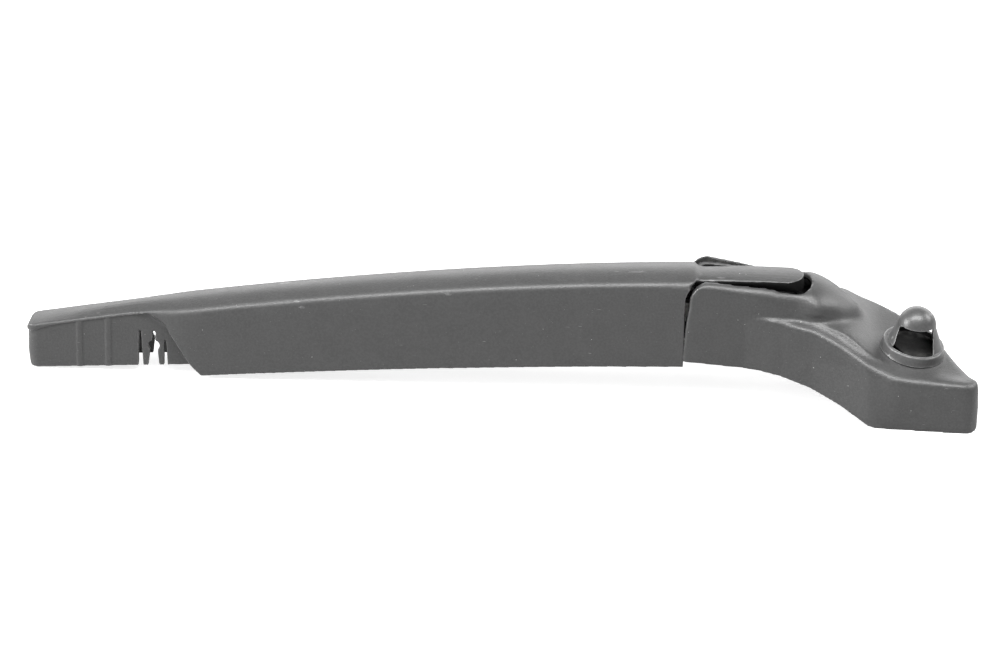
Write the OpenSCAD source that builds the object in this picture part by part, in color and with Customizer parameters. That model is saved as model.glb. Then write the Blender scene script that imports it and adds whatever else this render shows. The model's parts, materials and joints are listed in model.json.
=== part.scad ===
// Rear wiper arm: a channel-section arm with a snap fork at its tip, hinged to a
// cranked mounting head with a hooded nozzle cover over the spindle.
// Origin: spindle axis at the base rim. +Z points away from the glass, the tip is at -X.

/* [Arm] */
// Distance from the hinge axis to the tip
arm_len = 242; // [200:1:320]
// Width of the arm at the hinge end
arm_w_root = 20.6; // [18:0.2:26]
// Width of the arm where the side skirts begin
arm_w_skirt = 19; // [16:0.2:24]
// Highest point of the top surface above the hinge axis
arm_rise = 8.5; // [8.2:0.05:8.8]
// Fall of the top surface from its crest to the start of the skirts
arm_sag = 7.75; // [5:0.05:8.4]
// Depth of the lower edge under the hinge axis at the shallowest point
arm_depth = 23.1; // [21:0.1:26]
// Extra depth of the lower edge at the start of the skirts
arm_bow = 1.7; // [0:0.1:2.4]
// Wall thickness of the side skirts
arm_wall = 2; // [1.6:0.1:2.6]
// Thickness of the top wall
arm_top_wall = 2.4; // [2:0.1:3]
// Radius of the rounded top edges
arm_edge_r = 3; // [1.5:0.1:4]
// Height of the crown across the top
arm_crown = 1; // [0:0.1:2]

/* [Blade tip] */
// Length of the narrow tip beyond the skirts
tip_len = 45; // [40:1:60]
// Width of the tip cap
tip_w = 12; // [11:0.2:14]
// Height of the tip side walls at the fork
tip_h = 21.6; // [20:0.2:22]
// Overhang of the cap over the side walls
tip_lip = 0.4; // [0.2:0.05:0.6]
// Wall thickness of the tip sides
tip_wall = 1.6; // [1.2:0.1:1.8]
// Corner radius of the tip seen from above
tip_corner_r = 4.6; // [3:0.1:5]
// Width of each side rib
rib_w = 1.7; // [1:0.1:2]
// Diameter of the pin that the fork snaps over
blade_pin_d = 4; // [3.6:0.1:5]
// Opening of the snap throat under the pin seat
fork_throat = 2.8; // [2:0.1:3.4]

/* [Hinge] */
// Diameter of the hinge pin
hinge_pin_d = 5; // [4:0.1:6]
// Angle by which the arm drops below the level on its stop
drop = 3.2; // [2.5:0.1:3.4]
// Width of the tongue that runs over the head
tongue_w = 12.8; // [11:0.2:13.4]
// Length of the tongue beyond the hinge axis
tongue_len = 31.5; // [26:0.5:32]
// Thickness of the tongue
tongue_t = 4.4; // [3.5:0.1:4.6]
// Radius of the rounded ear fronts
ear_r = 7.6; // [7:0.1:8]
// Gap between the ear fronts and the curved end of the arm
ear_gap = 1.5; // [1:0.1:2]

/* [Head] */
// Offset of the arm's centre line from the spindle axis
arm_offset = 11; // [8:0.5:13]
// Distance from the spindle axis back to the hinge axis
hinge_back = 68.8; // [66:0.2:74]
// Height of the hinge axis above the base rim
hinge_h = 36; // [35.5:0.1:38]
// Wall thickness of the head
head_wall = 2.2; // [1.8:0.1:2.6]
// Width of the slot between the ears
slot_w = 14; // [13.6:0.1:14.6]
// Sideways lean of the head's top surface, as a slope
head_lean = 0.09; // [0.05:0.01:0.12]

/* [Spindle insert] */
// Radius of the pilot bore at the bottom
pilot_r = 5; // [4.8:0.1:5.4]
// Length of the pilot bore
pilot_len = 4; // [3:0.5:5]
// Radius of the stud hole at the top
stud_r = 4.1; // [3.6:0.1:4.4]
// Length of the taper between the two bores
taper_len = 7; // [5:0.5:7]
// Overall height of the insert
insert_h = 15; // [14.5:0.1:15.5]
// Outer radius of the insert
insert_r = 7.2; // [6.8:0.1:7.8]

/* [Nozzle cover] */
// Radius of the cover's rim
rim_r = 10.5; // [10:0.1:10.8]
// Height of the plate around the cover above the base rim, at the spindle's axis
plate_h = 21.5; // [21.3:0.05:21.7]
// Height of the hood over the rim
hood_h = 14.8; // [14:0.2:16]
// Outer radius of the hood's dome
hood_r = 7.6; // [7:0.1:8.2]
// Thickness of the hood's shell
hood_t = 2; // [1.6:0.1:2.4]
// Height of the window under the hood
window_h = 10.8; // [9:0.2:11]
// Tilt of the cover's axis towards the head's end
hood_tilt = 12; // [8:0.5:14]

/* [Spring gear] */
// Diameter of the spring wire
wire_d = 1.5; // [1.2:0.1:1.6]
// Outer diameter of the spring coil
coil_d = 9.6; // [8.6:0.1:10]
// Number of coil turns
coil_turns = 20; // [14:1:22]
// Length of the coiled stretch
coil_len = 42; // [40:0.5:46]
// Diameter of the link pin and the spring pin
anchor_pin_d = 3.2; // [3:0.1:3.6]
// Distance of the link pin from the hinge axis
link_arm = 8.4; // [8.2:0.1:8.6]
// Thickness of the steel link
link_t = 2.4; // [1.8:0.1:2.6]

/* [Hidden] */
plastic = [0.34, 0.34, 0.34];
steel = [0.72, 0.73, 0.75];
zinc = [0.62, 0.62, 0.6];
$fn = 48;
// Small overrun that keeps cutters clear of the faces they cut
over = 0.6;
// Fit of pressed and running pins
press_gap = 0.02;
run_gap = 0.06;

function mix(a, b, t) = a + (b - a) * t;
function ease(t) = let (u = min(1, max(0, t))) u * u * (3 - 2 * u);
function ramp(x, table, k = 0) =
    x <= table[0][0] ? table[0][1]
    : k >= len(table) - 1 ? table[len(table) - 1][1]
    : x <= table[k + 1][0]
        ? mix(table[k][1], table[k + 1][1], (x - table[k][0]) / (table[k + 1][0] - table[k][0]))
        : ramp(x, table, k + 1);

// Solid through a list of cross-sections that have the same number of points
module loft(rows) {
    n = len(rows[0]);
    m = len(rows);
    sides = [for (i = [0 : m - 2], j = [0 : n - 1])
        let (a = i * n + j, b = i * n + (j + 1) % n)
        each [[a, b, b + n], [a, b + n, a + n]]];
    first = [for (j = [n - 1 : -1 : 0]) j];
    last = [for (j = [0 : n - 1]) (m - 1) * n + j];
    polyhedron(points = [for (r = rows) for (p = r) p],
               faces = concat([first], sides, [last]), convexity = 8);
}

// Cross-section across X: near side at y0, far side at y1, rounded top edges, crowned top.
// The top leans by the given slope, and z is the height midway between the sides.
edge_steps = 4;
crown_steps = 6;
function top_row(x, y0, y1, z, bottom, r, crown, lean = 0) =
    let (mid = (y0 + y1) / 2, half = (y1 - y0) / 2,
         q = min(r, half * 0.98), flat = half - q,
         rise = function (y) z + lean * (y - mid))
    concat(
        [[x, y0, bottom]],
        [for (k = [0 : edge_steps]) let (a = 180 - 80 * k / edge_steps, y = mid - flat + q * cos(a))
            [x, y, rise(y) - q + q * sin(a)]],
        [for (k = [1 : crown_steps - 1]) let (t = 2 * k / crown_steps - 1, y = mid + flat * t)
            [x, y, rise(y) + crown * (1 - t * t)]],
        [for (k = [0 : edge_steps]) let (a = 80 - 80 * k / edge_steps, y = mid + flat + q * cos(a))
            [x, y, rise(y) - q + q * sin(a)]],
        [[x, y1, bottom]]);

// Arm surface, in the arm's own frame: hinge axis at the origin, tip at -X
crest_x = -35;
skirt_x = -(arm_len - tip_len) + 17;
tip_x = -(arm_len - tip_len);
span = crest_x - skirt_x + 3;
function arm_top(x) = arm_rise - arm_sag * pow(abs(x - crest_x) / span, 1.85);
function arm_bottom(x) = -arm_depth - arm_bow * pow((x + 75) / 102, 2);
function arm_half(x) =
    x > skirt_x ? mix(arm_w_root, arm_w_skirt, x / skirt_x) / 2
    : mix(tip_w, arm_w_skirt, ease((x - tip_x + 8) / (skirt_x - tip_x + 8))) / 2;
function arm_edge(x) = mix(0.8, arm_edge_r, ease((x - tip_x + 6) / 24));
function arm_row(x, inset, cut) =
    top_row(x, -arm_half(x) + inset, arm_half(x) - inset, arm_top(x) - cut,
            arm_bottom(x) - over * (cut > 0 ? 4 : 0),
            max(0.5, arm_edge(x) - inset), cut > 0 ? arm_crown / 2 : arm_crown * ease((x - tip_x
                    + 20) / 40) + 0.25);

tip_bottom = arm_top(tip_x) - tip_h;
end_r = ear_r + ear_gap;

// Flat outline in X and Z, given a depth across Y
module side_plate(depth) {
    rotate([90, 0, 0]) linear_extrude(depth, center = true, convexity = 6) children();
}
module cross_bore(x, z, r, depth) {
    translate([x, 0, z]) rotate([90, 0, 0]) cylinder(r = r, h = depth, center = true);
}
module place_arm() {
    translate([-hinge_back, arm_offset, hinge_h]) rotate([0, -drop, 0]) children();
}

// Arm
flare_x = tip_x - 8;
arm_xs = concat(
    [for (k = [0 : 4]) mix(-arm_len - 2, flare_x, k / 5)],
    [for (k = [0 : 7]) mix(flare_x, skirt_x, k / 8)],
    [for (k = [0 : 13]) mix(skirt_x, 0, k / 13)]);

module arm_outer() {
    loft([for (x = arm_xs)
        top_row(x, -arm_half(x), arm_half(x), arm_top(x), -60, arm_edge(x),
                arm_crown * ease((x + arm_len) / 40) + 0.2)]);
}
module arm_inner(inset, cut, from) {
    loft([for (x = concat([from], [for (v = arm_xs) if (v > from + 0.5) v], [1]))
        top_row(x, -arm_half(x) + inset, arm_half(x) - inset, arm_top(x) - cut, -60,
                max(0.4, arm_edge(x) - inset), 0.4)]);
}

// Lower edge, curved end at the ears and slanted front edge of the skirts
heel_x = -(end_r + 1.4);
module skirt_outline() {
    top = arm_rise + 4;
    edge = [[0, -1.2], [5, -4.9], [8.2, -9.9], [13.6, -20.5]];
    arc = [for (a = [180 : -5 : 120]) [end_r * cos(a), end_r * sin(a)]];
    polygon(concat(
        [[tip_x, top], [tip_x, edge[0][1]]],
        [for (p = edge) [tip_x + p[0], p[1]]],
        [for (k = [0 : 10]) let (x = mix(skirt_x + 0.2, heel_x, k / 10)) [x, arm_bottom(x)]],
        arc, [[-end_r / 2, top]]));
}

// Plan outline of the tip with rounded corners, inset from the cap's edge
module tip_plan(inset, to) {
    half = tip_w / 2 - inset;
    r = tip_corner_r - inset;
    front = -arm_len + 0.4 + inset;
    translate([front + r, -half]) square([to - front - r, 2 * half]);
    translate([front, -half + r]) square([r + 1, 2 * (half - r)]);
    for (s = [-1, 1]) translate([front + r, s * (half - r)]) circle(r = r);
}
module tip_side(inset) {
    front = -arm_len + 0.4 + inset;
    polygon([[front, tip_bottom + 1], [front + 1, tip_bottom], [skirt_x + 3, tip_bottom], [skirt_x + 3, 12],
             [front + 16, 12], [front + 8.6, -3.7 - inset], [front + 4.6, -4.3 - inset],
                     [front + 2.2, -5.2 - inset],
             [front + 0.7, -6.5 - inset], [front, -8.3 - inset]]);
}
module tip_core() {
    intersection() {
        arm_outer();
        translate([0, 0, -50]) linear_extrude(80) tip_plan(tip_lip, skirt_x);
        side_plate(40) tip_side(tip_lip);
    }
}
cap_t = 0.9;
module tip_cap() {
    cap_end = skirt_x + 1;
    intersection() {
        arm_outer();
        translate([0, 0, -50]) linear_extrude(80) union() {
            tip_plan(0, flare_x + 2);
            translate([flare_x, -arm_w_root]) square([cap_end - flare_x, 2 * arm_w_root]);
        }
        side_plate(40) intersection() {
            tip_side(0);
            polygon(concat([for (k = [0 : 12]) let (x = mix(-arm_len - 2, cap_end, k / 12))
                [x, arm_top(x) - cap_t - 1.6 * ease((-x - arm_len + 12) / 12)]], [[cap_end, 14],
                        [-arm_len - 2, 14]]));
        }
    }
}
module tip_void() {
    t = tip_lip + tip_wall;
    intersection() {
        arm_inner(t, arm_top_wall, -arm_len + t);
        translate([0, 0, -50]) linear_extrude(80) tip_plan(t, skirt_x + 12);
        side_plate(40) polygon([[-arm_len, -60], [skirt_x + 12, -60], [skirt_x + 12, 12],
                [-arm_len + 14, 12],
                                [-arm_len + 9, -6.6], [-arm_len, -9.6]]);
    }
}

// Snap fork for the blade's pin: two fingers with a round seat, leaning with the ribs
lean = 6;
fork_x = tip_x + 0.8;
fork_z = tip_bottom + 7.6;
module fork_cuts() {
    top = 5.7;
    low = -10;
    mouth = 4.4;
    slit = 1.1;
    seat_r = blade_pin_d / 2 + 0.05;
    translate([fork_x, fork_z]) rotate(-lean) {
        circle(r = seat_r);
        translate([-slit / 2, 0]) square([slit, top]);
        polygon([[-fork_throat / 2, 0], [fork_throat / 2, 0], [fork_throat / 2, -2.6],
                [mouth / 2, low], [-mouth / 2, low],
                 [-fork_throat / 2, -2.6]]);
        polygon([[-5.2, top], [-4.6, top], [-3.6, low], [-5.5, low]]);
        polygon([[3.7, top], [4.2, top], [5.1, low], [3.7, low]]);
    }
}
rib_at = [18.2, 28.5];
module tip_ribs() {
    for (d = rib_at) intersection() {
        arm_outer();
        side_plate(tip_w - 0.1) intersection() {
            tip_side(0);
            translate([tip_x - d + 3.5, 0]) rotate(-lean) translate([0, -60]) square([rib_w, 60]);
        }
    }
}

// Tongue that runs over the head, with its two hinge knuckles
tongue_from = -18;
// Thin lip of the tongue and how far its underside draws in
tongue_lip = 1.2;
tongue_under = 1.4;
knuckle_r = 4.4;
knuckle_in = 1.9;
knuckle_w = 4;
function tongue_top(x) = 7.45 - 0.04 * max(0, x - 3) - 0.0012 * pow(max(0, x - 10), 2);
module tongue() {
    half = tongue_w / 2;
    intersection() {
        loft([for (k = [0 : 10]) let (x = mix(tongue_from, tongue_len + 1, k / 10), z = tongue_top(x),
                low = z - tongue_t)
            concat([[x, -half + tongue_under, low]], top_row(x, -half, half, z, z - tongue_lip, 0.9, 0.5),
                   [[x, half - tongue_under, low]])]);
        translate([0, 0, -20]) linear_extrude(60) union() {
            translate([tongue_from, -half]) square([tongue_len - half - tongue_from, tongue_w]);
            translate([tongue_len - half, 0]) circle(r = half);
        }
    }
    for (s = [-1, 1]) translate([0, s * (knuckle_in + knuckle_w / 2), 0]) rotate([90, 0, 0]) {
        cylinder(r = knuckle_r, h = knuckle_w, center = true);
        translate([-knuckle_r, 0, -knuckle_w / 2]) cube([2 * knuckle_r, 6.1, knuckle_w]);
    }
}

// Anchor of the spring inside the channel
anchor_x = -75;
anchor_z = -6.9;
cradle_w = 3;
module cradles() {
    for (s = [-1, 1]) {
        y = s * (arm_half(anchor_x) - arm_wall - cradle_w / 2 + 0.4);
        translate([anchor_x - 4, y - cradle_w / 2, anchor_z - 4]) cube([8, cradle_w,
                arm_top(anchor_x) - anchor_z + 2.4]);
    }
}
module cradle_cuts() {
    r = anchor_pin_d / 2 + press_gap;
    depth = 2 * (arm_half(anchor_x) - arm_wall) - 0.4;
    cross_bore(anchor_x, anchor_z, r, depth);
    translate([anchor_x - r, -depth / 2, anchor_z - 8]) cube([2 * r, depth, 8]);
}

module arm() {
    color(plastic) place_arm() difference() {
        union() {
            difference() {
                intersection() {
                    arm_outer();
                    side_plate(60) skirt_outline();
                }
                arm_inner(arm_wall, arm_top_wall, tip_x - 3);
            }
            tip_core();
            tip_cap();
            tip_ribs();
            tongue();
            cradles();
        }
        tip_void();
        side_plate(30) fork_cuts();
        cross_bore(0, 0, hinge_pin_d / 2 + run_gap, 30);
        cradle_cuts();
    }
}

module spring_pin() {
    color(steel) place_arm()
        cross_bore(anchor_x, anchor_z, anchor_pin_d / 2, 2 * (arm_half(anchor_x) - arm_wall) - 0.8);
}

// Link and spring
link_x = -4.8;
link_z = -sqrt(link_arm * link_arm - link_x * link_x);
link_end = -26.5;
hole_x = link_end + 3.2;
module link_outline() {
    top = link_z + 3.5;
    difference() {
        union() {
            polygon([[-14, link_z - 1.9], [-9, link_z - 4], [-0.8, link_z - 4], [-0.8, top - 1],
                    [-1.8, top], [-12, top],
                     [-16, link_z + 3.2], [hole_x, link_z + 3.2], [hole_x, link_z - 3.2],
                             [-16, link_z - 3.2]]);
            translate([hole_x, link_z]) circle(r = 3.2);
        }
        translate([link_x, link_z]) {
            circle(r = anchor_pin_d / 2 + 0.3);
            translate([-anchor_pin_d / 2 - 0.3, -8]) square([anchor_pin_d + 0.6, 8]);
        }
        translate([hole_x, link_z]) circle(r = 1.4);
    }
}
module spring_link() {
    color(zinc) place_arm() side_plate(link_t) link_outline();
}

// Wire path: hook round the anchor pin, coil, then a hook through the link
coil_r = (coil_d - wire_d) / 2;
coil_from = anchor_x + 5;
coil_to = coil_from + coil_len;
hook_r = anchor_pin_d / 2 + wire_d / 2 + 0.12;
coil_seg = 12;
wire_path = concat(
    [for (a = [60 : 30 : 270]) [anchor_x + hook_r * cos(a), 0, anchor_z + hook_r * sin(a)]],
    [[coil_from - 2.4, -0.2, anchor_z - hook_r - 0.8], [coil_from - 0.7, -0.8, anchor_z - coil_r]],
    [for (k = [1 : coil_turns * coil_seg - 1]) let (t = k / (coil_turns * coil_seg),
            a = -90 + 360 * coil_turns * t)
        [mix(coil_from, coil_to, t), coil_r * cos(a), anchor_z + coil_r * sin(a)]],
    [[coil_to + 0.5, -0.6, anchor_z - coil_r + 0.1], [coil_to + 1.6, -1.4, anchor_z - coil_r + 1.3],
     [coil_to + 2.6, -2.4, link_z - 1], [hole_x - 1.4, -2.7, link_z], [hole_x - 0.3, -1.9, link_z],
             [hole_x, 0, link_z],
     [hole_x - 0.3, 1.9, link_z], [hole_x - 1.4, 2.7, link_z], [hole_x - 3, 2.9, link_z]]);
function unit(v) = v / norm(v);
function tangent(p, i) = unit(p[min(i + 1, len(p) - 1)] - p[max(i - 1, 0)]);
module sweep(path, r, sides) {
    n = len(path);
    normals = [for (i = 0, v = [0, 1, 0]; i < n;
        i = i + 1, v = i < n ? unit(v - (v * tangent(path, i)) * tangent(path, i)) : v) v];
    loft([for (i = [0 : n - 1]) let (t = tangent(path, i), u = unit(normals[i] - (normals[i] * t) * t),
            w = cross(t, u))
        [for (k = [0 : sides - 1]) let (a = 360 * k / sides) path[i] + r * (cos(a) * u + sin(a) * w)]]);
}
module tension_spring() {
    color(steel) place_arm() sweep(wire_path, wire_d / 2, 6);
}

// Head
// Plan outline: ears at -X, flared body, blunt nose beyond the spindle
ear_far = arm_offset + arm_w_root / 2;
near_edge = [[-62, 1.6], [-51.4, -0.3], [-44.5, -1.8], [-34.2, -5.8], [-23.9, -11.3], [-16.6, -15.6],
        [-14.6, -16.7],
             [-12.2, -17.3], [18.3, -18.9], [20.3, -18.3], [21.8, -16.6], [22.6, -14.2]];
far_edge = [[22.5, -12.6], [21.6, -10.9], [20.4, -9.4], [17.5, -4], [13.8, 2.1], [11.2, 6.4],
        [3.8, 15.2], [-3.8, 23.4],
            [-9.9, 27.6], [-14, 29.4], [-20, 30.5], [-27, 29.6], [-35, 26.8], [-44.5, 23.6],
                    [-51.4, 22.2], [-62, 20.4]];
module head_plan(inset) {
    offset(delta = -inset) polygon(concat(near_edge, far_edge));
}
module head_side() {
    x0 = -hinge_back;
    translate([x0, hinge_h]) circle(r = ear_r);
    polygon([[x0 - 9.1, 13.6], [-61.8, 12.3], [-51.4, 11.6], [-44.5, 10.6], [-34.2, 8.2], [-23.9, 4.7],
            [-16.6, 1.5],
             [-14.6, 0.5], [-12, 0], [40, 0], [40, hinge_h + 20], [x0, hinge_h + 20], [x0, hinge_h],
                     [x0 - ear_r + 0.1, hinge_h]]);
}

// Top of the flared body: rounded near edge, shallow trough, then the sloping plate
ridge_z = [[-64, 33], [-52, 32.3], [-43.7, 31.4], [-38.6, 30.5], [-31.8, 29.3], [-25, 26.6],
        [-18.2, 23.4], [-11.4, 20.5],
           [-7, 19.4], [0, 19.2], [25, 18.2]];
swell = [[-40, 5.4], [-28, 5], [-21, 4.2], [-17, 2.6], [-13.5, 0.8], [-11, 0]];
near_y = concat(near_edge, [[25, -10]]);
far_y = [for (k = [0 : len(far_edge) - 1]) far_edge[len(far_edge) - 1 - k]];
function soft(x, table, w) = (ramp(x - w, table) + 2 * ramp(x, table) + ramp(x + w, table)) / 4;
function plate_z(x, y) = plate_h - 0.15 * x + 0.11 * y;
function body_row(x, cut) =
    let (a = ramp(x, near_y), b = max(a + 14, ramp(x, far_y)), zr = soft(x, ridge_z, 2) - cut,
            s = soft(x, swell, 2) - cut,
         zt = mix(zr, plate_z(x, a + 6.5) + s, 0.86))
    concat([[x, a - 5, zr - 6], [x, a - 0.1, zr - 1.3], [x, a + 0.7, zr - 0.35], [x, a + 1.7, zr],
            [x, a + 2.8, zr + 0.05],
            [x, a + 4.6, mix(zr, zt, 0.5)], [x, a + 6.5, zt]],
           [for (k = [1 : 5]) let (y = mix(a + 6.5, b - 2, k / 5)) [x, y, plate_z(x,
                   y) + s * (1 - ease((y - 17) / 12) * 0.6)]],
           [[x, b - 0.8, plate_z(x, b) - cut - 0.3], [x, b + 5, plate_z(x, b) - cut - 6],
                   [x, b + 5, -30], [x, a - 5, -30]]);
body_xs = [-66, -58, -51, -46, -41, -37, -33, -29, -25, -21, -18.5, -16, -13.5, -11, -8, -4, 2, 10, 18, 26];
module body_top(cut) {
    loft([for (x = body_xs) body_row(x, cut)]);
}

// Ears and the hump between the arm and the spindle
hump = [[-82, 0, 43.6, 2.4], [-68, 0, 43.1, 2.4], [-60, 0, 42.2, 2.6], [-52, 0, 41.9, 3.2],
        [-46, 0, 41.6, 4.2],
        [-40, 0, 41.5, 5.8], [-35, 0.1, 41.3, 7.2], [-31, 0.7, 40.7, 8], [-27, 1.7, 39.1, 8],
                [-23.5, 3.2, 36.6, 7],
        [-20.5, 5.4, 34.4, 4.8], [-18.5, 7.6, 33, 2.6], [-17.2, 9.4, 32, 0.8]];
function hump_row(v, inset) =
    let (c = arm_offset + 0.06 * max(0, v[0] + 40), h = arm_w_root / 2 - v[1] - inset)
    top_row(v[0], c - h, c + h, v[2] - inset, -30, max(0.3, v[3] - inset), 0.3,
            head_lean * ease((v[0] + 58) / 15));
module hump_outer() {
    loft([for (v = hump) hump_row(v, 0)]);
}
module hump_inner() {
    loft([for (v = hump) if (v[0] > -50 && v[0] < -19) hump_row(v, head_wall + 0.2)]);
}
// The far ear is thicker than the near one, and its outer leaf stands beside the arm
leaf_t = 1.8;
leaf_gap = 0.3;
module far_ear() {
    x0 = -hinge_back;
    z0 = hinge_h;
    root = [[-40, z0 + 0.5], [-40, 11], [x0 - 9.1, 13.6]];
    translate([0, ear_far + leaf_gap / 2, 0]) side_plate(leaf_gap + 0.8) {
        translate([x0, z0]) circle(r = ear_r);
        polygon(concat([[x0 - ear_r + 0.1, z0], [x0, z0], [x0 + 0.8, z0 + ear_r - 0.05],
                [-46, z0 + 2.4]], root));
    }
    translate([0, ear_far + leaf_gap + leaf_t / 2, 0]) side_plate(leaf_t)
        polygon(concat([[x0 - 8.6, z0 - 1], [x0 - 8.5, z0 + 2], [x0 - 7.8, z0 + 3.9], [x0 - 6.7, z0 + 5.7],
                        [x0 - 5.3, z0 + 7], [x0 - 3.9, z0 + 7.8], [x0 - 2.4, z0 + 8.1], [x0 - 0.9, z0 + 8],
                        [-60, z0 + 6.2], [-46, z0 + 3.1]], root));
}
module slot(r, length) {
    translate([-hinge_back - 20, arm_offset - r]) square([length, 2 * r]);
    translate([-hinge_back - 20 + length, arm_offset]) circle(r = r);
}
slot_len = 47;

// Frame of the nozzle cover: centre of its foot on the plate, tilted
module place_cover() {
    translate([0, 0, plate_h]) rotate([hood_tilt * 0.5, hood_tilt * 0.7, 0]) children();
}
boss_r = 11;
seat_h = 0.4;
foot_r = rim_r + 1.9;
plug_r = 8.6;
well_r = 9.3;
module head_core() {
    cylinder(r = boss_r, h = 26);
    for (a = [20, 100, 180, 250, 320]) rotate(a) translate([0, -0.9, 2.5]) cube([40, 1.8, 40]);
}
module head() {
    color(plastic) difference() {
        union() {
            difference() {
                intersection() {
                    union() {
                        intersection() {
                            translate([0, 0, -1]) linear_extrude(60) head_plan(0);
                            body_top(0);
                        }
                        hump_outer();
                    }
                    translate([0, arm_offset, 0]) side_plate(80) head_side();
                }
                difference() {
                    union() {
                        intersection() {
                            translate([0, 0, -2]) linear_extrude(60) head_plan(head_wall);
                            body_top(head_wall + 0.1);
                        }
                        hump_inner();
                    }
                    head_core();
                }
            }
            far_ear();
            place_cover() rotate_extrude() polygon([[8, -2], [foot_r + 0.5, -0.7], [foot_r, -0.05],
                    [rim_r + 1.2, 0.1],
                                                    [rim_r + 0.8, seat_h], [8, seat_h]]);
        }
        translate([0, 0, -3]) linear_extrude(60) slot(slot_w / 2, slot_len);
        place_cover() translate([0, 0, -8]) cylinder(r = plug_r + 0.04, h = 16);
        translate([0, 0, insert_h]) cylinder(r = well_r, h = 4);
        translate([0, 0, -1]) cylinder(r = insert_r + press_gap, h = 30);
        ear_bores();
    }
}
pin_in = 9.3;
pin_out = 12;
module ear_bores() {
    translate([-hinge_back, 0, hinge_h]) rotate([-90, 0, 0])
        translate([0, 0, arm_offset - pin_in]) cylinder(r = hinge_pin_d / 2 + press_gap, h = 40);
    place_arm() rotate([-90, 0, 0]) translate([link_x, -link_z,
            -pin_in]) cylinder(r = anchor_pin_d / 2 + press_gap, h = 40);
}
module hinge_pin() {
    color(steel) translate([-hinge_back, arm_offset - pin_in + 0.1, hinge_h]) rotate([-90, 0, 0])
        cylinder(r = hinge_pin_d / 2, h = pin_in + pin_out - 0.1);
}
module link_pin() {
    color(steel) place_arm() translate([link_x, -pin_in + 0.1, link_z]) rotate([-90, 0, 0])
        cylinder(r = anchor_pin_d / 2, h = pin_in + pin_out - 0.1);
}

module spindle_insert() {
    z1 = pilot_len;
    z2 = pilot_len + taper_len;
    color(zinc) difference() {
        rotate_extrude() polygon([[stud_r, 0], [insert_r - 0.6, 0], [insert_r, 0.6],
                [insert_r, insert_h], [stud_r, insert_h]]);
        translate([0, 0, -1]) cylinder(r = pilot_r, h = z1 + 1);
        translate([0, 0, z1]) cylinder(r1 = pilot_r, r2 = stud_r, h = taper_len);
        translate([0, 0, z2 - 1]) cylinder(r = stud_r, h = 20);
    }
}

// Cover: collar and plug, dark floor, and a hood on two legs
collar_top = 3.8;
hood_foot_r = 9.7;
hood_lean = 4.5;
dome_z = collar_top + hood_h - 1.5 - hood_r + 1;
module hood_solid(inset) {
    dome = hood_r - 1 - inset;
    translate([0, 0, collar_top - 1.2]) cylinder(r1 = hood_foot_r - inset, r2 = dome - 0.05,
            h = dome_z - collar_top + 1.2);
    translate([0, 0, dome_z]) sphere(r = dome);
}
module nozzle_cover() {
    color(plastic) place_cover() {
        rotate_extrude() polygon([[rim_r - 1.3, seat_h], [rim_r + 0.6, seat_h],
                [rim_r + 0.65, seat_h + 0.25], [rim_r + 0.4, seat_h + 0.55],
                                  [rim_r, collar_top - 0.3], [rim_r - 0.3, collar_top],
                                          [rim_r - 1.1, collar_top], [rim_r - 1.3, collar_top - 0.2]]);
        difference() {
            translate([0, 0, seat_h]) cylinder(r = rim_r - 1, h = 1.4);
            drain();
        }
        difference() {
            translate([0, 0, -3]) cylinder(r = plug_r - 0.03, h = 5);
            translate([0, 0, -4]) cylinder(r = plug_r - 1.4, h = 5);
            drain();
        }
        translate([0, 0, collar_top]) rotate([0, -hood_lean, 0]) translate([0, 0,
                -collar_top]) difference() {
            hood_solid(0);
            translate([0, 0, -0.05]) hood_solid(hood_t);
            window();
        }
    }
}
// Gap between the floor and the collar at the near side
module drain() {
    intersection() {
        translate([0, 0, 0.1]) cylinder(r = rim_r - 1.7, h = 5);
        rotate(217) translate([6.1, -20, 0]) cube([20, 40, 8]);
    }
}
module window() {
    z0 = collar_top - 2;
    side_plate(40) polygon([[-7.7, z0], [6.4, z0], [5.4, window_h + 1], [-5.6, window_h + 1]]);
    for (s = [-1, 1]) translate([-20, s * 5 - (s < 0 ? 20 : 0), z0]) cube([14, 20, window_h - 1]);
}

head();
spindle_insert();
nozzle_cover();
hinge_pin();
link_pin();
arm();
spring_pin();
tension_spring();
spring_link();
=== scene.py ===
"""Dresses the solids of a rear wiper arm: softened mouldings, a wound spring, plastic and steel finishes."""

import json
import math

import bpy
from mathutils import Matrix, Vector


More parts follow.
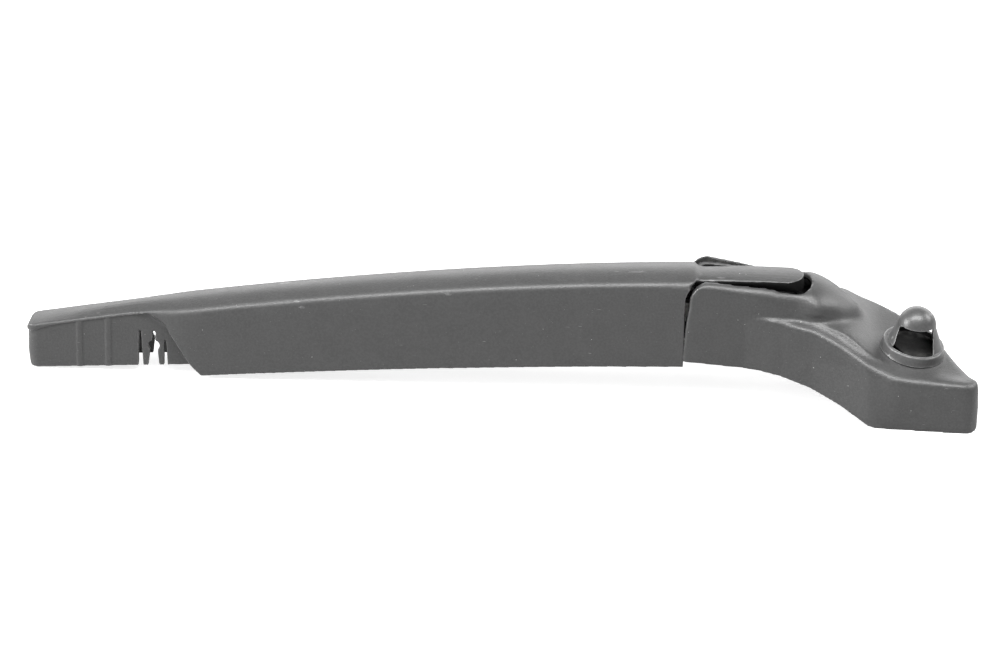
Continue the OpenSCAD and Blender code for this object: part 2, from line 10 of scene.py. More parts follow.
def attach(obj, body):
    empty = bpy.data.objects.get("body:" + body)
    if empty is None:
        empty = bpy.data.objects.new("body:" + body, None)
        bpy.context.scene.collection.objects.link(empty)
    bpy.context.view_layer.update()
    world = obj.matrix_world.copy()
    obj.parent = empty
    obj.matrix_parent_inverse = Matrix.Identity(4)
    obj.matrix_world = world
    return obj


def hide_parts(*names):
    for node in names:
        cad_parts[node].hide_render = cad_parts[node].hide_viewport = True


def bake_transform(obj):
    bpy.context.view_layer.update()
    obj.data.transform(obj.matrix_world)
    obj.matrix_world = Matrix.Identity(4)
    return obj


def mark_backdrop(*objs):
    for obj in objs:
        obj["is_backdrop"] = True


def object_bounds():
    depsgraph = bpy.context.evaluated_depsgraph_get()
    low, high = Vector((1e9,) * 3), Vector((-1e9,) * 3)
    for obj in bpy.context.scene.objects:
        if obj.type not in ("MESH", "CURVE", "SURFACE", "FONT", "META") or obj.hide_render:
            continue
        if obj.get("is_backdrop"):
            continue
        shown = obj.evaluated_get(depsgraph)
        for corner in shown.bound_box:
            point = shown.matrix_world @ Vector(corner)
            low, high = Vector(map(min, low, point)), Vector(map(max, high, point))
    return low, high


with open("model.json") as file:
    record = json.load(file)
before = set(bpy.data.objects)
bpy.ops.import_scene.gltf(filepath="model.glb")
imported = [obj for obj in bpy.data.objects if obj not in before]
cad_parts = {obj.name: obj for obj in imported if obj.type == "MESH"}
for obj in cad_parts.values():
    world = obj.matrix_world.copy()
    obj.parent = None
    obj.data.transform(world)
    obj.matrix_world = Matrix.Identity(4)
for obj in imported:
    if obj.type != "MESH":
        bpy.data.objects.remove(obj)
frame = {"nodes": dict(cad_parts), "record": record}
NODES = frame["nodes"]

bl_info = {
    "name": "Rear Wiper Arm",
    "version": (1, 0, 0),
    "blender": (4, 5, 0),
    "location": "View3D > Sidebar > Wiper Arm",
    "description": "Builds the looks of a moulded rear wiper arm over its packed solids",
    "category": "Object",
}

MM = 0.001
ARM_DROP = math.radians(3.2)
HINGE = Vector((-68.8, 11.0, 36.0)) * MM
# Places in millimetres, as the part's source has them
ARM_MIDDLE_Y = 11
HUMP_MIDDLE_Y = 12
LEAF_FACE_Y = 21.45
SLOT_END_X = -41.8
COVER_FOOT = Vector((0, 0, 21.5))
COVER_TILT = Matrix.Rotation(math.radians(8.4), 3, "Y") @ Matrix.Rotation(math.radians(6), 3, "X")
# Height of the spring's middle line over the hinge, in millimetres in the arm's frame
SPRING_Z = -6.9


def arm_point(x, y, z):
    """A point given in millimetres from the hinge, along and across the arm, as a point of the scene."""
    along = x * math.cos(ARM_DROP) - z * math.sin(ARM_DROP)
    up = x * math.sin(ARM_DROP) + z * math.cos(ARM_DROP)
    return HINGE + Vector((along, y, up)) * MM


# Sizes and colours


def length_property(title, what, size, low, high):
    return bpy.props.FloatProperty(
        name=title, description=what, default=size, min=low, max=high, unit="LENGTH", precision=5)


def detail_property(title, what, size):
    return length_property(title, f"Size of the smallest detail kept on {what}", size, 0.0002, 0.002)


def softness_property(title, what, passes):
    return bpy.props.IntProperty(
        name=title, description=f"Smoothing passes over {what}", default=passes, min=0, max=400)


def colour_property(title, what, colour):
    return bpy.props.FloatVectorProperty(
        name=title, description=f"Colour of {what}", subtype="COLOR", size=3, default=colour, min=0, max=1)


def power_property(title, where, watts):
    return bpy.props.FloatProperty(
        name=title, description=f"Power of the softbox {where}", default=watts, min=0, max=200, unit="POWER")


class MouldingSizes(bpy.types.PropertyGroup):
    arm_voxel: detail_property("Arm detail", "the arm", 0.00028)
    head_voxel: detail_property("Head detail", "the head", 0.0005)
    cover_voxel: detail_property("Cover detail", "the nozzle cover", 0.00022)
    arm_softness: softness_property("Arm softness", "the arm's edges", 2)
    head_softness: softness_property("Head softness", "the head's edges", 4)
    cover_softness: softness_property("Cover softness", "the cover's edges", 2)
    ridge_softness: softness_property("Ridge softness", "the arm's long upper edges", 220)
    hump_softness: softness_property("Hump softness", "the end of the hump and the nose", 230)
    draft: length_property("Flare draft", "How far the flared side leans back at its top", 0.0028, 0, 0.004)


class SpringSizes(bpy.types.PropertyGroup):
    wire: length_property("Wire", "Diameter of the spring wire", 0.0015, 0.001, 0.002)
    coil: length_property("Coil", "Outer diameter of the coil", 0.0096, 0.007, 0.0105)
    turns: bpy.props.IntProperty(name="Turns", description="Number of coil turns", default=20, min=12, max=26)


class Finishes(bpy.types.PropertyGroup):
    plastic: colour_property("Plastic", "the arm and head", (0.039, 0.039, 0.039))
    cover: colour_property("Cover", "the nozzle cover", (0.055, 0.055, 0.055))
    dust: colour_property("Dust", "dust specks and fine scuffs", (0.42, 0.42, 0.41))
    steel: colour_property("Steel", "pins and link", (0.56, 0.56, 0.55))
    wire: colour_property("Wire", "the spring", (0.4, 0.4, 0.39))


class StageLook(bpy.types.PropertyGroup):
    floor: colour_property("Floor", "the floor", (0.45, 0.45, 0.45))
    glow: bpy.props.FloatProperty(
        name="White background", description="How much the floor brightens towards white in the picture",
        default=0.8, min=0, max=1)
    back: power_property("Back light", "behind the part", 26.5)
    overhead: power_property("Overhead light", "above and in front of the part", 28)
    right: power_property("Right light", "at the back right", 10)
    left: power_property("Left light", "at the left", 24)
    sky: bpy.props.FloatProperty(
        name="Room light", description="Strength of the even light from all sides", default=0.1, min=0, max=2)


def settings():
    return bpy.context.scene.wiper_arm


class WiperArmSettings(bpy.types.PropertyGroup):
    moulding: bpy.props.PointerProperty(
        type=MouldingSizes, name="Mouldings", description="Detail and softness of the mouldings")
    spring: bpy.props.PointerProperty(type=SpringSizes, name="Spring", description="Sizes of the spring")
    finish: bpy.props.PointerProperty(type=Finishes, name="Finishes", description="Colours of the finishes")
    stage: bpy.props.PointerProperty(type=StageLook, name="Stage", description="Floor and lights")


# Shader expressions


class Value:
    """A shader socket that adds Math nodes as it is used in expressions."""

    def __init__(self, maker, socket):
        self.maker = maker
        self.socket = socket

    def math(self, operation, *others, **choices):
        inputs = dict(enumerate([self, *others]))
        return self.maker.node("ShaderNodeMath", dict(operation=operation, **choices), inputs)["Value"]

    def __add__(self, other):
        return self.math("ADD", other)

    __radd__ = __add__

    def __mul__(self, other):
        return self.math("MULTIPLY", other)

    __rmul__ = __mul__

    def __sub__(self, other):
        return self.math("SUBTRACT", other)

    def __rsub__(self, other):
        return self * -1 + other

    def above(self, low, high):
        """0 below low and 1 above high, with a soft step between."""
        inputs = {"Value": self, "From Min": low, "From Max": high}
        return self.maker.node("ShaderNodeMapRange", dict(interpolation_type="SMOOTHSTEP"), inputs)["Result"]

    def clamp(self):
        return self.math("ADD", 0.0, use_clamp=True)


class Outputs:
    """The outputs of a node by name, each as a Value."""

    def __init__(self, maker, node):
        self.maker = maker
        self.node = node

    def __getitem__(self, name):
        return Value(self.maker, self.node.outputs[name])


class Finish:
    """A material under construction."""

    def __init__(self, name):
        self.material = bpy.data.materials.new(name)
        self.material.use_nodes = True
        self.tree = self.material.node_tree
        self.tree.nodes.clear()
        self.output = self.tree.nodes.new("ShaderNodeOutputMaterial")

    def node(self, kind, choices=None, inputs=None):
        """Adds a node, sets its choices and fills or links its inputs."""
        node = self.tree.nodes.new(kind)
        for key, value in (choices or {}).items():
            setattr(node, key, value)
        for key, value in (inputs or {}).items():
            socket = node.inputs[key]
            if isinstance(value, Value):
                self.tree.links.new(value.socket, socket)
            elif isinstance(value, (tuple, list)) and len(value) == 3 and socket.type == "RGBA":
                socket.default_value = (*value, 1.0)
            else:
                socket.default_value = value
        return Outputs(self, node)

    def place(self, stretch=(1.0, 1.0, 1.0)):
        """Position on the piece in millimetres, stretched along each axis."""
        at = self.node("ShaderNodeTexCoord")["Object"]
        scale = tuple(1000.0 * s for s in stretch)
        return self.node("ShaderNodeVectorMath", dict(operation="MULTIPLY"), {0: at, 1: scale})["Vector"]

    def noise(self, scale, detail=2.0, stretch=(1.0, 1.0, 1.0)):
        inputs = {"Vector": self.place(stretch), "Scale": scale, "Detail": detail}
        return self.node("ShaderNodeTexNoise", None, inputs)["Fac"]

    def cells(self, scale):
        return self.node("ShaderNodeTexVoronoi", None, {"Vector": self.place(), "Scale": scale})

    def mix(self, factor, a, b):
        """Colour a where factor is 0 and b where it is 1."""
        made = self.node("ShaderNodeMix", dict(data_type="RGBA"), {})
        node = made.node
        for key, value in ((0, factor), (6, a), (7, b)):
            if isinstance(value, Value):
                self.tree.links.new(value.socket, node.inputs[key])
            elif key:
                node.inputs[key].default_value = (*value, 1.0)
            else:
                node.inputs[key].default_value = value
        return Value(self, node.outputs[2])

    def bump(self, height, depth, strength=1.0, under=None):
        """Surface relief from a height of 0 to 1, with its depth in metres."""
        inputs = {"Height": height, "Distance": depth, "Strength": strength}
        if under is not None:
            inputs["Normal"] = under
        return self.node("ShaderNodeBump", None, inputs)["Normal"]

    def surface(self, **inputs):
        named = {key.replace("_", " "): value for key, value in inputs.items()}
        shader = self.node("ShaderNodeBsdfPrincipled", None, named)
        self.tree.links.new(shader["BSDF"].socket, self.output.inputs["Surface"])
        return self.material


def grained_plastic(name, colour, roughness, grain=0.02, specks=1.0, wear_and_highlight=1.0):
    """Moulded plastic with a fine grain, flow mottling, dust specks, scuffs, painted shade in creases, and
    paler edges that are partly truly worn and partly a painted highlight.
    """
    f = Finish(name)
    dust = tuple(settings().finish.dust)
    pale = tuple(min(1.0, c * 3.4) for c in colour)
    deep = tuple(c * 0.9 for c in colour)
    mottle = f.noise(0.11, 3.0).above(0.3, 0.7)
    sharp = f.node("ShaderNodeNewGeometry")["Pointiness"]
    edge = sharp.above(0.508, 0.55)
    # Painted shade: concave places darken, as shade falls in creases and corners.
    crease_shade = 1 - sharp.above(0.44, 0.49)
    edge_patches = f.noise(0.6, 3.0).above(0.35, 0.7)
    cell = f.cells(0.42)
    pick = f.node("ShaderNodeSeparateColor", None, {"Color": cell["Color"]})
    size = pick["Green"] * 0.045 + 0.02
    chosen = pick["Red"].above(0.86, 0.87)
    speck = (1 - (cell["Distance"] - size).above(0.0, 0.03)) * chosen
    cell2 = f.cells(1.7)
    pick2 = f.node("ShaderNodeSeparateColor", None, {"Color": cell2["Color"]})
    fine = (1 - cell2["Distance"].above(0.08, 0.16)) * pick2["Blue"].above(0.955, 0.96)
    scuff = f.noise(0.5, 1.0, (0.5, 3.0, 4.0)).above(0.74, 0.8) * f.noise(0.05, 0.0).above(0.55, 0.6)
    fleck = f.noise(1.3, 1.0).above(0.35, 0.65)
    base = f.mix(mottle, deep, colour)
    base = f.mix(fleck * 0.35, base, tuple(c * 1.45 for c in colour))
    # Painted shade in creases and corners.
    base = f.mix(crease_shade * 0.75, base, tuple(c * 0.25 for c in colour))
    # Paler edges: partly truly worn, partly a painted highlight along crisp rounded edges.
    base = f.mix((edge * (edge_patches * 0.6 + 0.25) * wear_and_highlight).clamp(), base, pale)
    base = f.mix(scuff * 0.18 * specks, base, dust)
    base = f.mix(((speck * 0.7 + fine * 0.45) * specks).clamp(), base, dust)
    rough = f.noise(0.25, 2.0) * 0.1 + (roughness - 0.05) + speck * 0.2 - edge * 0.06
    height = f.noise(1.7, 2.0)
    ripple = f.noise(0.035, 1.0)
    relief = f.bump(height, grain * 4.0 * MM, 1.0, f.bump(ripple, 0.35 * MM, 0.5))
    return f.surface(Base_Color=base, Roughness=rough.clamp(), Normal=relief, IOR=1.5)


def shadowed_plastic(name):
    """The same plastic with painted shade, for the slot and the well: near black on upright walls, a little
    lighter in patches on faces that look up.
    """
    f = Finish(name)
    shade_patches = f.noise(0.5, 3.0).above(0.35, 0.75)
    facing = f.node("ShaderNodeNewGeometry")["Normal"]
    lit_upward = f.node("ShaderNodeSeparateXYZ", None, {"Vector": facing})["Z"].above(0.4, 0.8)
    # Painted shade: near black on walls, a little lighter where faces look up and catch some light.
    base = f.mix(shade_patches * lit_upward, (0.003, 0.003, 0.003), (0.026, 0.026, 0.025))
    rough = shade_patches * 0.2 + 0.62
    relief = f.bump(f.noise(3.0, 2.0), 0.02 * MM)
    return f.surface(Base_Color=base, Roughness=rough, Normal=relief, Specular_IOR_Level=0.15)


def plain_steel(name, colour, roughness, brush=(1.0, 12.0, 1.0), tarnish=0.3):
    """Plated steel with fine brush marks and a little dull tarnish."""
    f = Finish(name)
    dull = tuple(c * 0.55 for c in colour)
    mark = f.noise(1.5, 3.0, brush)
    age = f.noise(0.35, 3.0).above(0.45, 0.75)
    base = f.mix(age * tarnish, colour, dull)
    rough = mark * 0.12 + age * 0.18 + (roughness - 0.06)
    relief = f.bump(mark, 0.006 * MM, 0.7)
    return f.surface(Base_Color=base, Metallic=1.0, Roughness=rough.clamp(), Normal=relief)


def knurled_insert(name, colour):
    """Plated insert whose walls carry fine upright serrations."""
    f = Finish(name)
    at = f.node("ShaderNodeSeparateXYZ", None, {"Vector": f.place()})
    turn = at["Y"].math("ARCTAN2", at["X"])
    tooth = (turn * 44.0).math("SINE") * 0.5 + 0.5
    age = f.noise(0.5, 3.0).above(0.45, 0.8)
    base = f.mix(age * 0.4, colour, tuple(c * 0.6 for c in colour))
    rough = age * 0.2 + 0.3
    relief = f.bump(tooth, 0.2 * MM, 0.6, f.bump(f.noise(2.5, 2.0), 0.01 * MM, 0.6))
    return f.surface(Base_Color=base, Metallic=1.0, Roughness=rough.clamp(), Normal=relief)


# Pieces


def dress(obj, material, smooth=True):
    """Gives a piece its only finish, with smooth or flat shading."""
    obj.data.materials.clear()
    obj.data.materials.append(material)
    obj.data.polygons.foreach_set("use_smooth", [smooth] * len(obj.data.polygons))
    obj.data.update()


def evaluated(obj, name):
    """A new object with obj's mesh after its modifiers, in the place of obj."""
    bpy.context.view_layer.update()
    made = bpy.data.meshes.new_from_object(obj.evaluated_get(bpy.context.evaluated_depsgraph_get()))
    piece = bpy.data.objects.new(name, made)
    bpy.context.scene.collection.objects.link(piece)
    bpy.data.objects.remove(obj)
    return piece


def softened(source, name, voxel, passes, keep, shift=None, rounder=None, extra=0):
    """A copy of a moulded solid with rounded edges and continuous faces.

    keep is the share of its triangles that stays. shift moves points of the surface, and rounder gives
    the share of the extra smoothing that each one gets.
    """
    rough = bpy.data.objects.new(name + "_rough", source.copy())
    bpy.context.scene.collection.objects.link(rough)
    rough.modifiers.new("weld", "WELD").merge_threshold = 1e-6
    remesh = rough.modifiers.new("remesh", "REMESH")
    remesh.mode = "VOXEL"
    remesh.voxel_size = voxel
    fine = evaluated(rough, name + "_fine")
    if shift:
        for v in fine.data.vertices:
            v.co = shift(v.co)
    if rounder:
        group = fine.vertex_groups.new(name="rounder")
        shares = {}
        for v in fine.data.vertices:
            share = round(rounder(v.co), 1)
            if share > 0:
                shares.setdefault(share, []).append(v.index)
        for share, members in shares.items():
            group.add(members, share, "REPLACE")
        more = fine.modifiers.new("rounder", "SMOOTH")
        more.factor = 0.5
        more.iterations = extra
        more.vertex_group = "rounder"
    soften = fine.modifiers.new("soften", "SMOOTH")
    soften.factor = 0.5
    soften.iterations = passes
    fine.modifiers.new("thin", "DECIMATE").ratio = keep
    piece = evaluated(fine, name)
    piece.vertex_groups.clear()
    return piece


def step(value, low, high):
    """0 below low and 1 above high, with a soft step between."""
    t = min(1.0, max(0.0, (value - low) / (high - low)))
    return t * t * (3 - 2 * t)


def between(value, low, high, fade):
    """1 between low and high, fading to 0 outside them."""
    return step(value, low - fade, low) * (1 - step(value, high, high + fade))


def in_arm(co):
    """A point of the scene in millimetres from the hinge, along and across the arm."""
    d = (co - HINGE) / MM
    along = d.x * math.cos(ARM_DROP) + d.z * math.sin(ARM_DROP)
    return Vector((along, d.y, d.z * math.cos(ARM_DROP) - d.x * math.sin(ARM_DROP)))


def arm_top(x):
    """Height of the arm's upper face over the hinge, as the part's source curves it."""
    rise, sag, crest_x, half_span = 8.5, 7.75, -35, 148
    return rise - sag * (abs(x - crest_x) / half_span) ** 1.85


def arm_ridge(co):
    """Where the arm is rounded further: its long upper edges, and the joint between it and its tongue."""
    tongue_root, tongue_end, cap_root = -14, 6, -190
    p = in_arm(co)
    depth = arm_top(p.x) - p.z
    edges = (1 - step(depth, 6, 9)) * between(p.x, cap_root, tongue_root, 9 if p.x < -100 else 3)
    return max(edges, (1 - step(depth, 1.6, 2.6)) * between(p.x, tongue_root, tongue_end, 3))


def arm_shift(co):
    """The front of the tip stands upright."""
    reach, cap_depth, wall_depth = 0.9, 2.5, 12
    p = in_arm(co)
    low = step(arm_top(p.x) - p.z, cap_depth, wall_depth)
    return co - (arm_point(reach, 0, 0) - HINGE) * low * step(-p.x, 228, 238)


def near_side(x):
    """The near edge of the flared body in plan, in millimetres."""
    points = ((-62, 1.6), (-51.4, -0.3), (-44.5, -1.8), (-34.2, -5.8), (-23.9, -11.3), (-16.6, -15.6),
              (-12.2, -17.3), (18.3, -18.9), (30, -19))
    for (x0, y0), (x1, y1) in zip(points, points[1:]):
        if x <= x1:
            return y0 + (y1 - y0) * max(0.0, (x - x0) / (x1 - x0))
    return points[-1][1]


def head_shift(co):
    """The flared side leans back, the hump's crest widens and the ears close up on the arm's end."""
    ear_reach, leaf_reach, crest_growth = 0.5, 2.8, 0.35
    x, y, z = co / MM
    lean = between(x, -22, -13, 9 if x > -13 else 26) * min(1.0, z / 19) * (1 - step(y - near_side(x), 3, 10))
    y += settings().moulding.draft / MM * lean
    crest = between(x, -32, -14, 9) * step(z, 28, 36 if x < -24 else 32)
    y = HUMP_MIDDLE_Y + (y - HUMP_MIDDLE_Y) * (1 + crest_growth * crest)
    low = 1 - step(z, 27, 35)
    if y < LEAF_FACE_Y:
        x -= ear_reach * low * step(-x, 69, 77)
    else:
        x -= leaf_reach * step(-x, 66, 77) * (1 - step(z, 38, 41))
    return Vector((x, y, z)) * MM


def head_soft(co):
    """Where the head is rounded further: hump end, nose, bead, and the tops of ear and near face."""
    x, y, z = co / MM
    hump = between(x, -27, -12, 8) * step(z, 22.5, 25.5) * between(y, 0, 22, 3)
    nose = step(x, 11, 17) * step(z, 8, 13)
    edge = step(x, -18, -12) * step(z, 10, 14) * (1 - step(y, -12, -8))
    bead = between(x, -44, -14, 5) * (1 - step(y - near_side(x), 7, 10)) * 0.6
    bead *= step(z - 17 + 0.35 * (x + 16), 0, 3)
    ear = between(x, -64, -30, 6) * step(z, 36, 39) * (1 - step(y, 2, 3)) * 0.3
    return max(hump, nose * 0.7, edge * 0.7, bead * 0.5, ear)


def shaded(piece, second, inside):
    """Gives the painted-shade finish second to the faces that inside picks by their middle and normal."""
    piece.data.materials.append(second)
    for face in piece.data.polygons:
        if inside(face.center, face.normal):
            face.material_index = 1


def in_tongue_side(co, normal):
    """The upright side of the tongue, under its rounded edge, which gets painted shade."""
    p = in_arm(co)
    return p.x > -6 and p.z < arm_top(p.x) - 1.0 and abs(p.y) < 8 and abs(normal.z) < 0.6


def in_head_slot(co, normal):
    """The walls of the slot that the tongue moves in, and the inner face of the far leaf, which get painted
    shade.
    """
    x, y, z = co / MM
    inwards = Vector((min(x, SLOT_END_X) - x, ARM_MIDDLE_Y - y))
    wall = inwards.length < 8.6 and normal.x * inwards.x + normal.y * inwards.y > 0.4 * inwards.length
    leaf = y > 18 and ((x < -45 and z > 40 and normal.y < -0.35) or x < -77.6)
    return leaf or (wall and z < 41.8 - 0.06 * (x + 60))


def in_cover_well(co, normal):
    """The floor of the nozzle cover and the inside of its collar, which get painted shade."""
    p = COVER_TILT.transposed() @ (co / MM - COVER_FOOT)
    collar_inside, collar_top = 9.62, 3.72
    return math.hypot(p.x, p.y) < collar_inside and p.z < collar_top


def finish_piece(piece, node, material):
    """Puts a dressed piece in the place of its CAD node, on that node's body."""
    dress(piece, material)
    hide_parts(node)
    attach(piece, piece_body(node))
    return piece


def piece_body(node):
    """The body that carries a CAD node."""
    return next(b for b, members in frame["record"]["behaviour"]["bodies"].items() if node in members)


class WIPER_OT_arm(bpy.types.Operator):
    """Moulded channel arm with its tongue, tip cap and snap fork"""

    bl_idname = "wiper.arm"
    bl_label = "Arm"

    def execute(self, context):
        m = settings().moulding
        plastic = grained_plastic("arm plastic", tuple(settings().finish.plastic), 0.43)
        piece = softened(NODES["arm"].data, "arm_moulding", m.arm_voxel, m.arm_softness, 0.19,
                         arm_shift, arm_ridge, m.ridge_softness)
        finish_piece(piece, "arm", plastic)
        # Painted shade on the tongue's upright sides, down in the slot.
        shaded(piece, shadowed_plastic("arm slot painted shade"), in_tongue_side)
        return {"FINISHED"}


class WIPER_OT_head(bpy.types.Operator):
    """Cranked mounting head with its ears, hump and flared body"""

    bl_idname = "wiper.head"
    bl_label = "Mounting head"

    def execute(self, context):
        m = settings().moulding
        plastic = grained_plastic("head plastic", tuple(settings().finish.plastic), 0.43, wear_and_highlight=0.4)
        piece = softened(NODES["head"].data, "head_moulding", m.head_voxel, m.head_softness, 0.8,
                         head_shift, head_soft, m.hump_softness)
        finish_piece(piece, "head", plastic)
        # Painted shade on the slot's walls and the far leaf's inner face.
        shaded(piece, shadowed_plastic("head slot painted shade"), in_head_slot)
        return {"FINISHED"}


class WIPER_OT_cover(bpy.types.Operator):
    """Nozzle cover with its collar and hood"""

    bl_idname = "wiper.cover"
    bl_label = "Nozzle cover"

    def execute(self, context):
        m = settings().moulding
        # The cover's crisp collar rims get the strongest paler edges: worn, and a painted highlight.
        plastic = grained_plastic(
            "cover plastic", tuple(settings().finish.cover), 0.36, grain=0.01, specks=0.4, wear_and_highlight=1.6)
        piece = softened(NODES["nozzle_cover"].data, "cover_moulding", m.cover_voxel, m.cover_softness, 0.7)
        finish_piece(piece, "nozzle_cover", plastic)
        # Painted shade on the cover's floor and the inside of its collar.
        shaded(piece, shadowed_plastic("cover well painted shade"), in_cover_well)
        return {"FINISHED"}


class WIPER_OT_pins(bpy.types.Operator):
    """Steel pins, link and spindle insert"""

    bl_idname = "wiper.pins"
    bl_label = "Pins, link and insert"

    def execute(self, context):
        steel = tuple(settings().finish.steel)
        pin = plain_steel("pin steel", steel, 0.3, (12.0, 1.0, 12.0), 0.25)
        sheet = plain_steel("link steel", tuple(c * 0.9 for c in steel), 0.38, (1.0, 8.0, 6.0), 0.45)
        insert = knurled_insert("insert steel", tuple(c * 0.92 for c in steel))
        finishes = {"hinge_pin": pin, "link_pin": pin, "spring_pin": pin,
                    "spring_link": sheet, "spindle_insert": insert}
        for node, finish in finishes.items():
            piece = NODES[node]
            dress(piece, finish, smooth=False)
            rounding = piece.modifiers.new("edges", "BEVEL")
            rounding.width = 0.00025
            rounding.segments = 3
            rounding.limit_method = "ANGLE"
            rounding.angle_limit = math.radians(40)
            rounding.harden_normals = False
        return {"FINISHED"}


def spring_path(wire, coil, turns):
    """Points along the wire in the arm's frame, in millimetres: hook, coil and the hook through the link."""
    z = SPRING_Z
    pin_x, start, end, hole = -75, -70.0, -28.0, -23.3
    pin_radius, clearance = 1.6, 0.12
    reach = coil / 2 - wire / 2
    hook = pin_radius + wire / 2 + clearance
    bend = [math.radians(a) for a in range(60, 275, 15)]
    points = [(pin_x + hook * math.cos(a), 0, z + hook * math.sin(a)) for a in bend]
    points += [(start - 2.4, -0.2, z - hook - 0.8), (start - 0.7, -0.8, z - reach)]
    steps = turns * 24
    for k in range(1, steps):
        t = k / steps
        a = math.radians(-90 + 360 * turns * t)
        points.append((start + (end - start) * t, reach * math.cos(a), z + reach * math.sin(a)))
    points += [(end + 0.5, -0.6, z - reach + 0.1), (end + 1.6, -1.4, z - reach + 1.3)]
    points.append((end + 2.6, -2.4, z - 1))
    points += [(hole - 1.4, -2.7, z), (hole - 0.3, -1.9, z), (hole, 0, z), (hole - 0.3, 1.9, z)]
    points += [(hole - 1.4, 2.7, z), (hole - 3, 2.9, z)]
    return points


def tube(name, points, radius, sides=10):
    """A round wire along points given in metres."""
    verts, faces = [], []
    side = Vector((0, 1, 0))
    for i, p in enumerate(points):
        along = (points[min(i + 1, len(points) - 1)] - points[max(i - 1, 0)]).normalized()
        side = (side - along * side.dot(along)).normalized()
        other = along.cross(side)
        for k in range(sides):
            a = 2 * math.pi * k / sides
            verts.append(p + (side * math.cos(a) + other * math.sin(a)) * radius)
    for i in range(len(points) - 1):
        for k in range(sides):
            a, b = i * sides + k, i * sides + (k + 1) % sides
            faces.append((a, a + sides, b + sides, b))
    faces.append(tuple(range(sides)))
    faces.append(tuple(reversed(range(len(verts) - sides, len(verts)))))
    mesh = bpy.data.meshes.new(name)
    mesh.from_pydata([tuple(v) for v in verts], [], faces)
    mesh.update()
    obj = bpy.data.objects.new(name, mesh)
    bpy.context.scene.collection.objects.link(obj)
    return obj


class WIPER_OT_spring(bpy.types.Operator):
    """Wound tension spring between the arm and the link"""

    bl_idname = "wiper.spring"
    bl_label = "Spring"

    def execute(self, context):
        s = settings().spring
        path = [arm_point(*p) for p in spring_path(s.wire / MM, s.coil / MM, s.turns)]
        piece = tube("wound_spring", path, s.wire / 2)
        dress(piece, plain_steel("spring steel", tuple(settings().finish.wire), 0.36, (3.0, 3.0, 3.0), 0.4))
        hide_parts("tension_spring")
        arm_point(-70, 0, SPRING_Z)
        arm_point(-27, 0, SPRING_Z)
        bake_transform(piece)
        return {"FINISHED"}


# Stage


def softbox(name, at, towards, width, height, power):
    """A rectangular light at a place in metres, turned towards another."""
    light = bpy.data.lights.new(name, "AREA")
    light.shape = "RECTANGLE"
    light.size = width
    light.size_y = height
    light.energy = power
    obj = bpy.data.objects.new(name, light)
    obj.location = at
    obj.rotation_euler = (Vector(towards) - Vector(at)).to_track_quat("-Z", "Y").to_euler()
    bpy.context.scene.collection.objects.link(obj)
    return obj


def pale_floor(look):
    """A floor just under the part, which brightens towards white where the camera sees it."""
    gap = 0.00005
    low = min(v.co.z for v in NODES["head"].data.vertices)
    low = min(low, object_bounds()[0][2]) - gap
    mesh = bpy.data.meshes.new("floor")
    mesh.from_pydata([(-4, -3, low), (4, -3, low), (4, 5, low), (-4, 5, low)], [], [(0, 1, 2, 3)])
    floor = bpy.data.objects.new("floor", mesh)
    bpy.context.scene.collection.objects.link(floor)
    f = Finish("floor white")
    seen = f.node("ShaderNodeLightPath")["Is Camera Ray"]
    matt = f.node("ShaderNodeBsdfDiffuse", None, {"Color": tuple(look.floor)})
    glow = f.node("ShaderNodeEmission", None, {"Color": (1.0, 1.0, 1.0), "Strength": seen * look.glow})
    both = f.node("ShaderNodeAddShader", None, {0: matt["BSDF"], 1: glow["Emission"]})
    f.tree.links.new(both["Shader"].socket, f.output.inputs["Surface"])
    mesh.materials.append(f.material)
    return floor


def room_light(look):
    """An even light from all sides, which the camera sees as pure white."""
    world = bpy.data.worlds.new("room")
    world.use_nodes = True
    tree = world.node_tree
    background = tree.nodes["Background"]
    background.inputs["Color"].default_value = (1, 1, 1, 1)
    path = tree.nodes.new("ShaderNodeLightPath")
    level = tree.nodes.new("ShaderNodeMath")
    level.operation = "MULTIPLY_ADD"
    level.inputs[1].default_value = 1.0 - look.sky
    level.inputs[2].default_value = look.sky
    tree.links.new(path.outputs["Is Camera Ray"], level.inputs[0])
    tree.links.new(level.outputs["Value"], background.inputs["Strength"])
    return world


def camera_in_front():
    """A camera that looks down on the part from the front, as in the photo."""
    look_down, turn_left = math.radians(26.8), math.radians(4.35)
    camera = bpy.data.cameras.new("camera")
    camera.lens = 105.2
    camera.sensor_width = 36.0
    camera.clip_end = 50
    eye = bpy.data.objects.new("camera", camera)
    eye.location = (-0.0730, -0.8980, 0.4778)
    eye.rotation_euler = (math.radians(90) - look_down, 0, turn_left)
    bpy.context.scene.collection.objects.link(eye)
    return eye


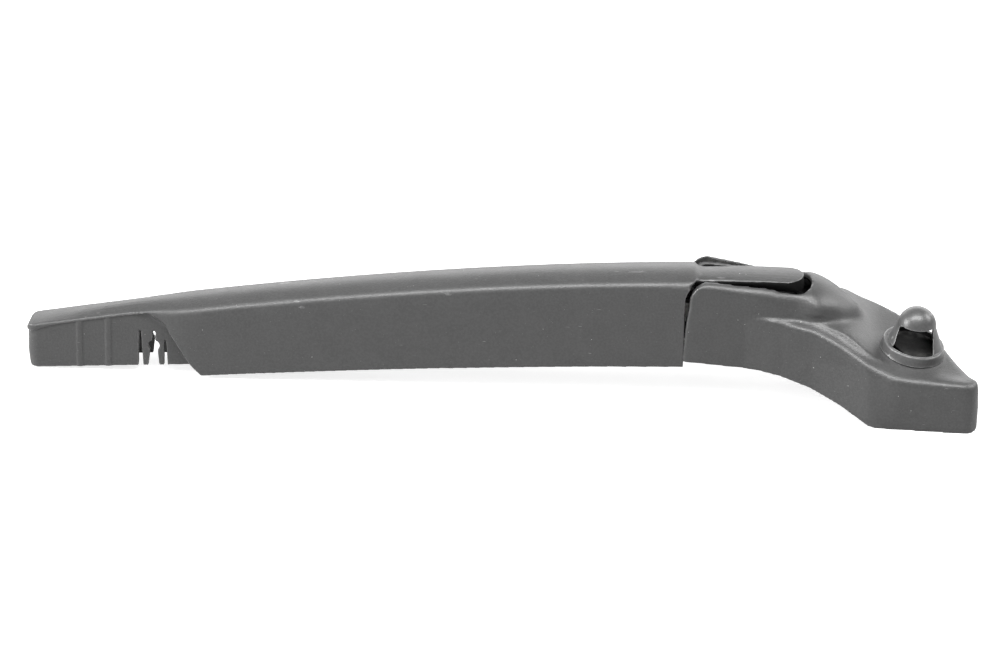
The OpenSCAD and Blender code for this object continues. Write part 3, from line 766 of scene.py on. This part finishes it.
class WIPER_OT_stage(bpy.types.Operator):
    """Pale floor, soft lights, room light and the camera"""

    bl_idname = "wiper.stage"
    bl_label = "Stage"

    def execute(self, context):
        look = settings().stage
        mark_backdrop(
            pale_floor(look),
            softbox("back softbox", (0.1, 1.5, 0.5), (-0.15, 0.0, 0.05), 3.2, 0.85, look.back),
            softbox("overhead softbox", (-0.15, -0.37, 1.05), (-0.15, 0.0, 0.0), 1.3, 0.3, look.overhead),
            softbox("right softbox", (0.95, 0.25, 0.75), (0.0, 0.0, 0.03), 0.5, 0.5, look.right),
            softbox("left softbox", (-1.3, -0.3, 0.5), (-0.14, 0.0, 0.0), 0.6, 0.6, look.left),
        )
        context.scene.world = room_light(look)
        context.scene.view_settings.view_transform = "Standard"
        context.scene.camera = camera_in_front()
        return {"FINISHED"}


class WIPER_PT_panel(bpy.types.Panel):
    """Sidebar panel with the sizes, colours and build steps"""

    bl_idname = "WIPER_PT_panel"
    bl_label = "Wiper Arm"
    bl_space_type = "VIEW_3D"
    bl_region_type = "UI"
    bl_category = "Wiper Arm"

    def draw(self, context):
        s = context.scene.wiper_arm
        groups = (("Mouldings", s.moulding), ("Spring", s.spring), ("Finishes", s.finish), ("Stage", s.stage))
        for title, group in groups:
            box = self.layout.box()
            box.label(text=title)
            for key in group.__annotations__:
                box.prop(group, key)
        for operator in OPERATORS:
            self.layout.operator(operator.bl_idname)


OPERATORS = (WIPER_OT_arm, WIPER_OT_head, WIPER_OT_cover, WIPER_OT_pins, WIPER_OT_spring, WIPER_OT_stage)
CLASSES = (MouldingSizes, SpringSizes, Finishes, StageLook, WiperArmSettings, *OPERATORS, WIPER_PT_panel)


def register():
    for c in CLASSES:
        bpy.utils.register_class(c)
    bpy.types.Scene.wiper_arm = bpy.props.PointerProperty(type=WiperArmSettings)


def unregister():
    del bpy.types.Scene.wiper_arm
    for c in reversed(CLASSES):
        bpy.utils.unregister_class(c)


def main():
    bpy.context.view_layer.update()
    register()
    bpy.ops.wiper.arm()
    bpy.ops.wiper.head()
    bpy.ops.wiper.cover()
    bpy.ops.wiper.pins()
    bpy.ops.wiper.spring()
    bpy.ops.wiper.stage()


if __name__ == "__main__":
    main()
